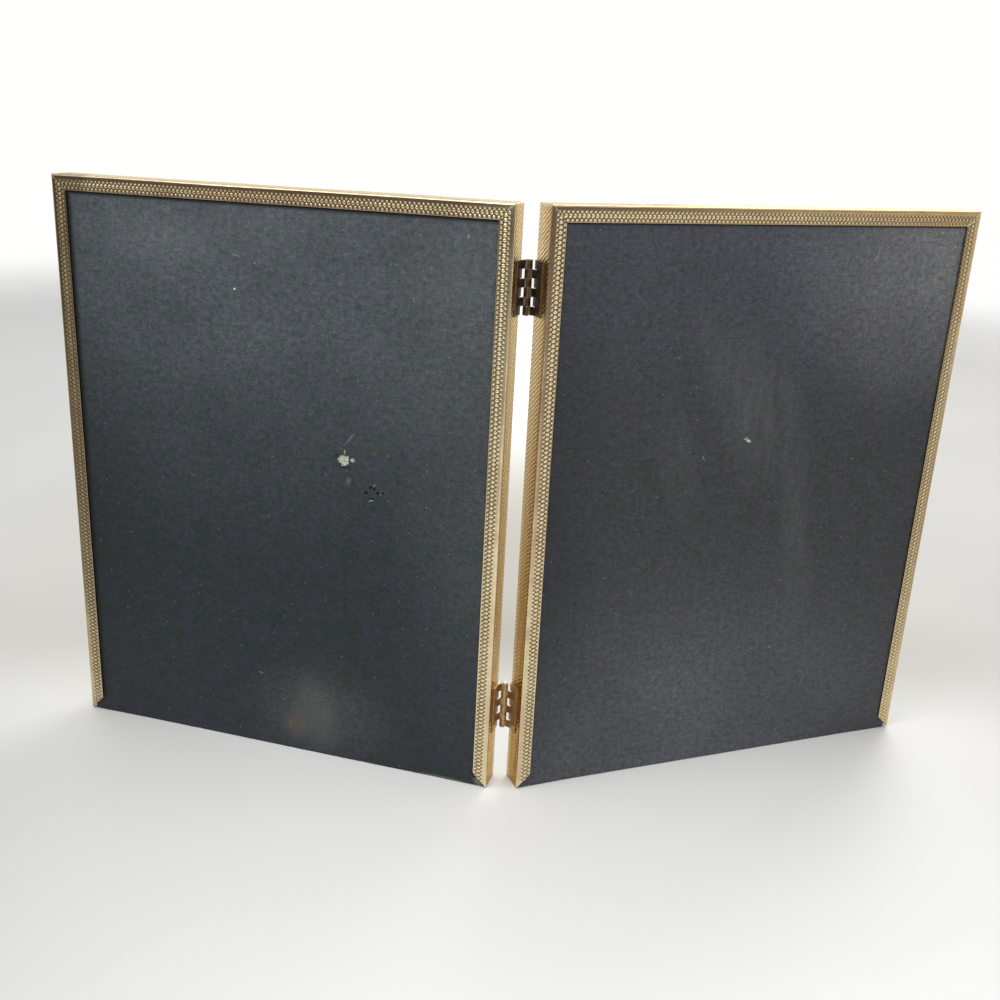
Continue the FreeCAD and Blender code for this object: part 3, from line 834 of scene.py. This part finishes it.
# Colours of the blank sheet and its fibres, and of the card, its fibres and its flutes
PAPER = (0.88, 0.865, 0.80)
YELLOWED = (0.82, 0.79, 0.71)
PAPER_FIBRE = (0.66, 0.62, 0.52)
CARD = (0.50, 0.355, 0.215)
DARK_CARD = (0.42, 0.29, 0.17)
CARD_FIBRE = (0.30, 0.20, 0.115)
CARD_FLUTE = (0.62, 0.46, 0.30)
FLUTE_PITCH = 6.4 * MM


def paper_finish():
    """A blank matt sheet with fibres and a slight cockle."""
    f = Finish("blank_paper")
    place = f.object_place()
    fibre = f.noise(f.scaled(place, (1.0, 1.0, 0.35)), 0.5 * MM, 4.0, 0.7)
    cloud = f.noise(place, 38 * MM, 2.0, 0.5)
    colour = f.mix(f.span(cloud, 0.35, 0.7), PAPER, YELLOWED)
    colour = f.mix(f.span(fibre, 0.5, 0.8, 0.0, 0.3), colour, PAPER_FIBRE)
    normal = f.bump(fibre, 0.02 * MM, 0.5, f.bump(cloud, 0.4 * MM, 0.5))
    f.set(Base_color=colour, Roughness=0.85, Normal=normal)
    return f.material


def card_finish():
    """Raw corrugated card: brown liner with the flutes showing faintly through."""
    f = Finish("corrugated_card")
    place = f.object_place()
    fibre = f.noise(f.scaled(place, (1.0, 1.0, 0.25)), 0.9 * MM, 4.0, 0.7)
    cloud = f.noise(place, 30 * MM, 3.0, 0.6)
    flutes = f.math("SINE", f.times(f.parts(place)[2], 2 * math.pi / FLUTE_PITCH))
    flutes = f.span(flutes, -1.0, 1.0)
    colour = f.mix(f.span(cloud, 0.3, 0.7), CARD, DARK_CARD)
    colour = f.mix(f.span(fibre, 0.5, 0.8, 0.0, 0.5), colour, CARD_FIBRE)
    colour = f.mix(f.times(flutes, 0.12), colour, CARD_FLUTE)
    normal = f.bump(fibre, 0.04 * MM, 0.6, f.bump(flutes, 0.15 * MM, 0.6))
    f.set(Base_color=colour, Roughness=0.9, Normal=normal)
    return f.material


# The two tints of each board's paper, in turn over its surface
TINTS = {"left": ((0.018, 0.027, 0.027), (0.024, 0.028, 0.039)),
         "right": ((0.043, 0.047, 0.048), (0.047, 0.049, 0.058))}
# Factors that turn a tone greener or bluer, the paper's gloss, and the colours of what lies on it
GREENER = (0.955, 1.01, 0.98)
BLUER = (1.015, 0.985, 1.05)
PAPER_GLOSS = 0.35
HAZE_GREY = (0.30, 0.295, 0.285)
DUST_GREY = (0.42, 0.43, 0.42)
# Black of the lips' painted shadow along the board's edges
LIP_SHADOW_BLACK = (0.006, 0.006, 0.006)
DENT_BLACK = (0.004, 0.004, 0.004)
DARK_FLUFF = (0.33, 0.35, 0.28)
PALE_FLUFF = (0.66, 0.68, 0.58)

# Broad zones of painted sheen, paler, and painted shade, darker: centre, half sizes, turn, colour,
# strength, in millimetres and degrees
SHEEN_AND_SHADE_ZONES = {
    "left": [((110, 285), (230, 175), -5, (0.110, 0.126, 0.142), 1.0),
             ((0, 200), (60, 190), 0, (0.094, 0.105, 0.108), 0.65),
             ((84, 20), (40, 28), 0, (0.074, 0.082, 0.080), 0.65),
             ((208, 90), (52, 130), 0, (0.012, 0.016, 0.018), 0.6)],
    "right": [((120, 280), (230, 120), 0, (0.082, 0.090, 0.114), 0.95),
              ((196, 246), (84, 76), 0, (0.215, 0.217, 0.220), 0.85),
              ((95, 5), (140, 105), 0, (0.106, 0.114, 0.122), 0.85),
              ((8, 120), (34, 130), 0, (0.020, 0.024, 0.028), 0.7)],
}

# Rubbed haze: centre, half sizes, turn, strength
HAZE = {
    "left": [((140, 236), (70, 14), -4, 0.10), ((30, 225), (24, 30), 0, 0.08)],
    "right": [((84, 196), (11, 26), 24, 0.11), ((104, 172), (20, 44), 20, 0.13),
              ((124, 160), (12, 50), 16, 0.09), ((134, 120), (10, 56), 10, 0.10),
              ((70, 150), (12, 36), 14, 0.06)],
}

# Marks and their colours: centre, half sizes, turn, colour, strength
PALE = (0.45, 0.45, 0.44)
WHITE = (0.85, 0.86, 0.84)
TAN = (0.125, 0.118, 0.090)
RUST = (0.095, 0.050, 0.045)
BLACK = (0.006, 0.006, 0.005)
SMUDGE = (0.092, 0.100, 0.094)
STAIN = (0.115, 0.095, 0.072)
RED_FIBRE = (0.26, 0.11, 0.08)
BARE_CORNER = (0.19, 0.18, 0.13)
BARE_EDGE_PAPER = (0.20, 0.19, 0.17)
WORN_EDGE = (0.10, 0.09, 0.065)
MARKS = {
    "left": [((71.1, 136.6), (1.5, 2.3), 25, TAN, 0.75), ((71.4, 134.4), (2.0, 1.1), 0, RUST, 0.5),
             ((48.5, 139.3), (0.9, 1.6), 20, BLACK, 0.45), ((46.5, 136.0), (0.6, 0.9), 0, BLACK, 0.35),
             ((70.5, 155.5), (0.5, 4.5), 40, PALE, 0.2), ((74.5, 150.6), (1.9, 0.5), 15, PALE, 0.12),
             ((59.2, 136.2), (0.35, 0.9), 35, PALE, 0.6), ((60.7, 129.0), (1.5, 0.4), -20, PALE, 0.6),
             # The black marks at (76.8, 147.0) and (72.5, 142.4), left of the tear and below it, are
             # painted shadow of its rim
             ((56.5, 132.6), (0.6, 0.45), 0, PALE, 0.7), ((76.8, 147.0), (0.9, 1.4), 20, BLACK, 0.9),
             ((72.5, 142.4), (3.2, 0.6), 0, BLACK, 0.8), ((87, 21), (13, 21), -12, SMUDGE, 0.55),
             ((97, 13), (8, 9), 0, STAIN, 0.5), ((99.9, 12.6), (0.45, 2.6), -8, RED_FIBRE, 0.7),
             ((123.1, 214.1), (0.6, 0.55), 0, WHITE, 0.95), ((21.6, 242.5), (0.6, 0.8), 0, PALE, 0.7),
             ((163.6, 240.4), (0.4, 2.6), -15, PALE, 0.2), ((121.8, 227.9), (2.4, 0.35), 10, PALE, 0.4),
             ((113.6, 225.5), (1.3, 0.35), 30, PALE, 0.35), ((114.7, 36.8), (1.6, 0.4), 10, PALE, 0.4),
             ((6.4, 2.2), (3.4, 2.6), 20, BARE_CORNER, 0.85), ((9.4, 5.6), (1.2, 2.6), -35, BLACK, 0.6),
             ((24, 0.6), (14, 0.8), 0, BARE_EDGE_PAPER, 0.5)],
    "right": [((103.7, 157.6), (1.6, 0.8), -20, WHITE, 0.75), ((102.2, 158.6), (1.3, 0.35), 25, WHITE, 0.6),
              ((130, 54.8), (0.8, 0.8), 0, PALE, 0.4), ((157, 237.9), (0.35, 5.1), -21, PALE, 0.4),
              ((173.4, 245.6), (0.35, 2.8), -66, PALE, 0.5), ((161, 146), (0.5, 0.5), 0, PALE, 0.5),
              ((82, 151), (1.8, 0.4), -55, PALE, 0.35), ((5.2, 1.5), (2.4, 2.6), 0, WORN_EDGE, 0.7),
              ((190.0, 240.6), (0.5, 0.5), 0, PALE, 0.9), ((197.6, 240.9), (0.5, 0.5), 0, PALE, 0.8),
              ((189.2, 246.8), (0.5, 0.5), 0, PALE, 0.7), ((191.4, 237.0), (0.45, 0.45), 0, PALE, 0.6)],
}


def board_finish(leaf):
    """Black paper-faced board: matt, with a fine grain, light specks, rubbed haze, a few marks, broad zones
    of painted sheen and shade, and the lips' painted shadow along its edges.
    """
    f = Finish(leaf.name + "_black_board")
    place = f.attribute("place", "Vector")
    parts = f.parts(place)
    torn = f.attribute("torn")
    dent = f.attribute("dent")
    shifted = f.node("VectorMath", {0: place, 1: (0.3 * leaf.side, 0.1, 0.0)}, operation="ADD")
    cloud = f.noise(shifted, 45 * MM, 3.0, 0.55)
    tint = f.noise(shifted, 9 * MM, 3.0, 0.65)
    mottle = f.noise(shifted, 2.6 * MM, 4.0, 0.75)
    grain = f.noise(shifted, 0.8 * MM, 2.0, 0.6)
    weave = f.noise(f.scaled(shifted, (0.22, 1.0, 1.0)), 1.1 * MM, 3.0, 0.65)
    green, blue = TINTS[leaf.name]
    base = f.mix(f.span(tint, 0.42, 0.58), green, blue)
    # Broad zones of painted sheen, paler, and painted shade, darker
    for centre, reach, turn, colour, strength in SHEEN_AND_SHADE_ZONES[leaf.name]:
        patch = f.ellipse(parts, centre, reach, turn, 1.0)
        patch = f.times(patch, f.span(cloud, 0.25, 0.75, 0.65 * strength, 1.15 * strength))
        base = f.mix(patch, base, colour)
    base = f.mix(1.0, base, f.mix(f.span(tint, 0.40, 0.60), GREENER, BLUER), "MULTIPLY")
    tone = f.span(mottle, 0.2, 0.8, 0.36, 1.60, smooth=False)
    tone = f.times(tone, f.span(grain, 0.2, 0.8, 0.60, 1.40, smooth=False))
    tone = f.times(tone, f.span(weave, 0.2, 0.8, 0.78, 1.22, smooth=False))
    base = f.scaled(base, tone)
    haze = None
    for centre, reach, turn, strength in HAZE[leaf.name]:
        patch = f.times(f.ellipse(parts, centre, reach, turn, 0.9), strength)
        haze = patch if haze is None else f.larger(haze, patch)
    rub = f.noise(f.scaled(shifted, (1.0, 0.16, 1.0)), 3.6 * MM, 5.0, 0.75, 0.3)
    haze = f.times(haze, f.span(rub, 0.3, 0.7, 0.2, 1.3))
    base = f.mix(haze, base, HAZE_GREY)
    # Light specks of dust, some of them larger
    specks = f.span(f.cells(shifted, 5.5 * MM), 0.035, 0.06, 1.0, 0.0)
    fine = f.span(f.cells(shifted, 1.9 * MM), 0.09, 0.14, 1.0, 0.0)
    dust = f.larger(specks, f.times(fine, f.span(mottle, 0.5, 0.7)))
    base = f.mix(f.times(dust, 0.45), base, DUST_GREY)
    for centre, reach, turn, colour, strength in MARKS[leaf.name]:
        patch = f.ellipse(parts, centre, reach, turn, 0.7)
        patch = f.times(patch, f.span(grain, 0.3, 0.6, 0.4, 1.15))
        base = f.mix(f.times(patch, strength), base, colour)
    # Painted shadow of the lips along the board's edges
    base = f.mix(f.attribute("covered"), base, LIP_SHADOW_BLACK)
    base = f.mix(dent, base, DENT_BLACK)
    fluff = f.mix(f.span(grain, 0.38, 0.62), DARK_FLUFF, PALE_FLUFF)
    base = f.mix(torn, base, fluff)
    rough = f.span(mottle, 0.3, 0.8, 0.58, 0.78)
    normal = f.bump(mottle, 0.05 * MM, 0.5)
    normal = f.bump(f.plus(grain, f.times(weave, 0.5)), 0.05 * MM, 0.5, normal)
    f.set(Base_color=base, Roughness=rough, Normal=normal)
    f.feed(f.shader.inputs["Specular IOR Level"], PAPER_GLOSS)
    return f.material


leaves = {name: Leaf(name) for name in SIDES}
brass = brass_finish()
bronze = bronze_finish()
pin_steel = steel_finish("bright_pin_steel", (0.93, 0.92, 0.90), 0.45, 0.35)
key_steel = steel_finish("zinc_plate", (0.55, 0.56, 0.57), 0.38, 1.0)
glass = glass_finish()
paper = paper_finish()
card = card_finish()

for leaf in leaves.values():
    for rail in ("top", "bottom", "hinge_side", "outer"):
        moulding(leaf, rail, brass)
    board(leaf, board_finish(leaf))
    body = leaf.body
    for corner in ("bottom_hinge_side", "top_hinge_side", "top_outer", "bottom_outer"):
        node = "%s_key_%s" % (leaf.name, corner)
        from_solid(node, "_plate", body, key_steel, KEY_ROUNDING)
    from_solid(leaf.name + "_glass", "_pane", body, glass, GLASS_ROUNDING)
    from_solid(leaf.name + "_insert_sheet", "_blank", body, paper, SHEET_ROUNDING)
    from_solid(leaf.name + "_filler_board", "_card", body, card, CARD_ROUNDING)
for hinge in ("top_hinge", "bottom_hinge"):
    for leaf in leaves.values():
        node = "%s_%s_plate" % (hinge, leaf.name)
        from_solid(node, "_worn", leaf.body, bronze, PLATE_ROUNDING)
    from_solid(hinge + "_pin", "_wire", "left_leaf", pin_steel, PIN_ROUNDING)


# Floor, light and camera

TABLE_RADIUS = 2.6
TABLE_DROP = 0.1 * MM
# Tones of the table, from its left to its right as seen from behind the object; its darker left and right
# and the middle's shade on the pictures' side are painted shade
LEFT_FRONT = (0.25, 0.25, 0.24)
LEFT_BACK = (0.46, 0.46, 0.45)
MIDDLE = (0.85, 0.85, 0.84)
MIDDLE_SHADE = (0.40, 0.375, 0.325)
RIGHT = (0.44, 0.43, 0.415)
CLOUDING = (0.60, 0.60, 0.58)
# The point that the table fades out around, and how much nearer it does so to the front
FADE_MIDDLE = 0.55
FADE_FRONT = 0.55


def stage_floor():
    """A pale table top with painted shade at its sides and on the pictures' side of the object, fading out
    into the background.
    """
    work = bmesh.new()
    bmesh.ops.create_circle(work, cap_ends=True, segments=96, radius=TABLE_RADIUS)
    mesh = bpy.data.meshes.new("table_top")
    work.to_mesh(mesh)
    work.free()
    floor = bpy.data.objects.new("table_top", mesh)
    floor.location.z = -TABLE_DROP
    bpy.context.scene.collection.objects.link(floor)
    f = Finish("white_table")
    place = f.object_place()
    side, behind, _ = f.parts(place)
    past = f.math("SUBTRACT", behind, FADE_MIDDLE)
    far = f.length(side, f.larger(past, f.times(past, -FADE_FRONT)))
    # Painted shade: darker towards the left and the right, and shade on the pictures' side of the middle
    left = f.mix(f.span(behind, -0.2, 0.3), LEFT_FRONT, LEFT_BACK)
    shade = f.times(f.span(behind, 0.0, 0.13), f.span(behind, 0.3, 0.7, 1.0, 0.0))
    tone = f.mix(f.span(side, -0.42, -0.02), left, f.mix(shade, MIDDLE, MIDDLE_SHADE))
    tone = f.mix(f.span(side, 0.05, 0.4), tone, RIGHT)
    clouds = f.span(f.noise(place, 0.25, 2.0, 0.5), 0.3, 0.7, 0.0, 0.15)
    f.set(Base_color=f.mix(clouds, tone, CLOUDING), Roughness=0.55)
    clear = f.node("BsdfTransparent")
    blend = f.node("MixShader", {0: f.span(far, 0.8, 1.5), 1: f.shader.outputs[0], 2: clear})
    f.feed(f.tree.nodes["Material Output"].inputs[0], blend)
    mesh.materials.append(f.material)


# Tones of the surroundings, and the direction of a bright opening in their dim side
DIM = (0.145, 0.14, 0.135)
BRIGHT = (1.0, 1.0, 0.99)
WINDOW = (0.93, -0.34, -0.10)


def room():
    """Pale surroundings, dim low down on the side of the black boards, as in a room lit from behind."""
    world = bpy.data.worlds.new("pale_room")
    bpy.context.scene.world = world
    world.use_nodes = True
    n = Nodes(world.node_tree)
    direction = n.node("TexCoord", output="Generated")
    _, front, up = n.parts(direction)
    opening = n.node("VectorMath", {0: direction, 1: WINDOW}, output="Value", operation="DOT_PRODUCT")
    light = n.larger(n.span(front, -0.35, 0.05), n.span(up, 0.20, 0.50))
    light = n.larger(light, n.span(opening, 0.90, 0.99))
    background = n.tree.nodes["Background"]
    n.feed(background.inputs["Color"], n.mix(light, DIM, BRIGHT))
    n.feed(background.inputs["Strength"], 1.0)


# Both lamps: width in metres, power in watts and the point that they are turned to
LAMP_SIZE = 0.9
LAMP_POWER = 9
LAMP_AIM = (0, 0, 0.1)


def softbox(name, place):
    """A round lamp that points at the object from afar."""
    lamp = bpy.data.lights.new(name, "AREA")
    lamp.shape = "DISK"
    lamp.size = LAMP_SIZE
    lamp.energy = LAMP_POWER
    obj = bpy.data.objects.new(name, lamp)
    obj.location = place
    obj.rotation_euler = (Vector(LAMP_AIM) - Vector(place)).to_track_quat("-Z", "Y").to_euler()
    bpy.context.scene.collection.objects.link(obj)


# Where the photograph was taken from, fitted to the frame's corners: place in millimetres and the
# directions of the picture's right, top and depth, then sensor and lens in millimetres and the shifts
CAMERA_PLACE = (-35.9976, -484.0396, 286.9130)
CAMERA_RIGHT = (0.99888501, -0.02334256, 0.04103493)
CAMERA_UP = (-0.03079608, 0.33662448, 0.94113525)
CAMERA_TOWARD = (0.03578187, 0.94134961, -0.33553029)
SENSOR = 36
FOCAL_LENGTH = 41.09
SHIFT_X = 0.0296
SHIFT_Y = 0.0211
NEAREST = 0.01
FARTHEST = 20


def camera():
    lens = bpy.data.cameras.new("camera")
    lens.sensor_width = SENSOR
    lens.lens = FOCAL_LENGTH
    lens.shift_x = SHIFT_X
    lens.shift_y = SHIFT_Y
    lens.clip_start = NEAREST
    lens.clip_end = FARTHEST
    obj = bpy.data.objects.new("camera", lens)
    turned = Matrix((CAMERA_RIGHT, CAMERA_UP, -Vector(CAMERA_TOWARD))).transposed().to_4x4()
    obj.matrix_world = Matrix.Translation(Vector(CAMERA_PLACE) * MM) @ turned
    bpy.context.scene.collection.objects.link(obj)
    bpy.context.scene.camera = obj


stage_floor()
room()
softbox("key_softbox", (-0.7, -0.5, 1.3))
softbox("fill_softbox", (0.55, 1.0, 1.1))
camera()
bpy.context.scene.view_settings.view_transform = "Standard"
